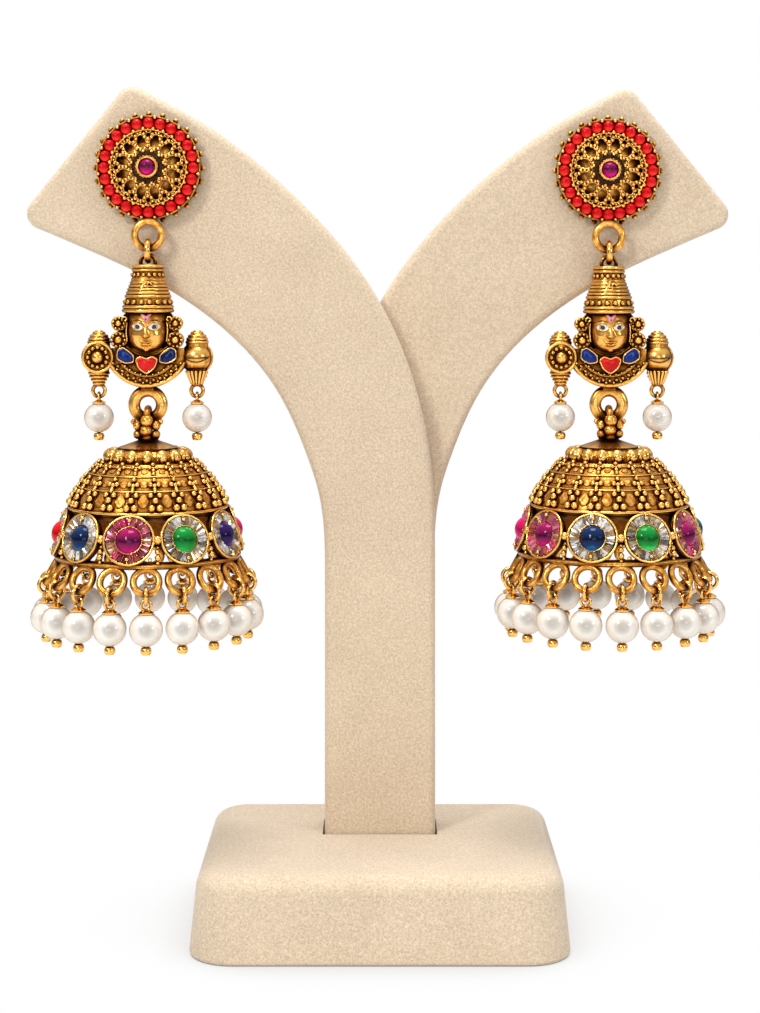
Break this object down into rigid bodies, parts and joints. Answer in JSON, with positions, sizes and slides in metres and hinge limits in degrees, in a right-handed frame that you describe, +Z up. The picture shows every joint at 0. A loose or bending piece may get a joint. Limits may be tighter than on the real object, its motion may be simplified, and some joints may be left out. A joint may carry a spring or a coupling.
{
  "type": "pair of jhumka earrings on a display stand",
  "caption": "Pair of jhumka earrings: pierced round studs, crowned figure drops and open bells with pearl fringes, hung on a suede stand with two curved arms.",
  "frame": {"origin": "middle of the stand's underside, on the surface that it stands on", "axes": "+Z up; -Y is the front, which the studs face; +X is to the right seen from the front"},
  "size_m": [0.1062, 0.0438, 0.1241],
  "materials": {
    "suede": "soft beige suede, matt, with a fine nap",
    "antique_gold": "antique gold plating, dark brown in the recesses",
    "post_gold": "plain gold plating",
    "pearl": "cream imitation pearl, satin lustre",
    "clear_stone": "clear foil-backed tapered stones",
    "stone_red": "glossy red cabochon, foil backed",
    "stone_magenta": "glossy magenta cabochon, foil backed",
    "stone_pink": "glossy pink cabochon, foil backed",
    "stone_green": "glossy green cabochon, foil backed",
    "stone_blue": "glossy blue cabochon, foil backed",
    "stone_teal": "glossy teal cabochon, foil backed",
    "stone_violet": "glossy violet cabochon, foil backed",
    "enamel_blue": "glossy blue enamel",
    "enamel_red": "glossy red enamel"
  },
  "bodies": {
    "stand": {"stand_base": "suede", "stand_arm_front": "suede", "stand_arm_back": "suede", "left_stud_frame": "antique_gold", "left_stud_stones": "stone_red", "left_stud_ruby": "stone_magenta", "left_post_nut": "post_gold", "right_stud_frame": "antique_gold", "right_stud_stones": "stone_red", "right_stud_ruby": "stone_magenta", "right_post_nut": "post_gold"},
    "left_link": {"left_drop_link": "antique_gold"},
    "left_pendant": {"left_figure": "antique_gold", "left_collar_blue_enamel": "enamel_blue", "left_collar_red_enamel": "enamel_red", "left_disc_pin": "antique_gold", "left_conch_pin": "antique_gold", "left_disc_pearl": "pearl", "left_conch_pearl": "pearl"},
    "left_bell": {"left_bell_shell": "antique_gold", "left_bell_halos": "clear_stone", "left_fringe_links": "antique_gold", "left_fringe_pins": "antique_gold", "left_fringe_pearls": "pearl", "left_bell_stone_01": "stone_magenta", "left_bell_stone_02": "stone_green", "left_bell_stone_03": "stone_violet", "left_bell_stone_04": "stone_pink", "left_bell_stone_05": "stone_red", "left_bell_stone_06": "stone_teal", "left_bell_stone_07": "stone_green", "left_bell_stone_08": "stone_magenta", "left_bell_stone_09": "stone_red", "left_bell_stone_10": "stone_blue"},
    "right_link": {"right_drop_link": "antique_gold"},
    "right_pendant": {"right_figure": "antique_gold", "right_collar_blue_enamel": "enamel_blue", "right_collar_red_enamel": "enamel_red", "right_disc_pin": "antique_gold", "right_conch_pin": "antique_gold", "right_disc_pearl": "pearl", "right_conch_pearl": "pearl"},
    "right_bell": {"right_bell_shell": "antique_gold", "right_bell_halos": "clear_stone", "right_fringe_links": "antique_gold", "right_fringe_pins": "antique_gold", "right_fringe_pearls": "pearl", "right_bell_stone_01": "stone_blue", "right_bell_stone_02": "stone_green", "right_bell_stone_03": "stone_magenta", "right_bell_stone_04": "stone_teal", "right_bell_stone_05": "stone_red", "right_bell_stone_06": "stone_green", "right_bell_stone_07": "stone_violet", "right_bell_stone_08": "stone_pink", "right_bell_stone_09": "stone_pink", "right_bell_stone_10": "stone_magenta"}
  },
  "joints": [
    {"name": "left_link_swing", "type": "hinge", "parent": "stand", "child": "left_link", "pos_m": [-0.0345, -0.0009, 0.09975], "axis": [-1, 0, 0], "range_deg": [-6, 60]},
    {"name": "left_drop_tilt", "type": "hinge", "parent": "left_link", "child": "left_pendant", "pos_m": [-0.0345, -0.0009, 0.09795], "axis": [0, 1, 0], "range_deg": [-6, 35]},
    {"name": "left_bell_swing", "type": "hinge", "parent": "left_pendant", "child": "left_bell", "pos_m": [-0.0345, -0.0009, 0.07445], "axis": [-1, 0, 0], "range_deg": [-35, 40]},
    {"name": "right_link_swing", "type": "hinge", "parent": "stand", "child": "right_link", "pos_m": [0.0345, 0.0032, 0.09955], "axis": [-1, 0, 0], "range_deg": [-6, 60]},
    {"name": "right_drop_tilt", "type": "hinge", "parent": "right_link", "child": "right_pendant", "pos_m": [0.0345, 0.0032, 0.09775], "axis": [0, -1, 0], "range_deg": [-6, 35]},
    {"name": "right_bell_swing", "type": "hinge", "parent": "right_pendant", "child": "right_bell", "pos_m": [0.0345, 0.0032, 0.07425], "axis": [-1, 0, 0], "range_deg": [-35, 40]}
  ]
}
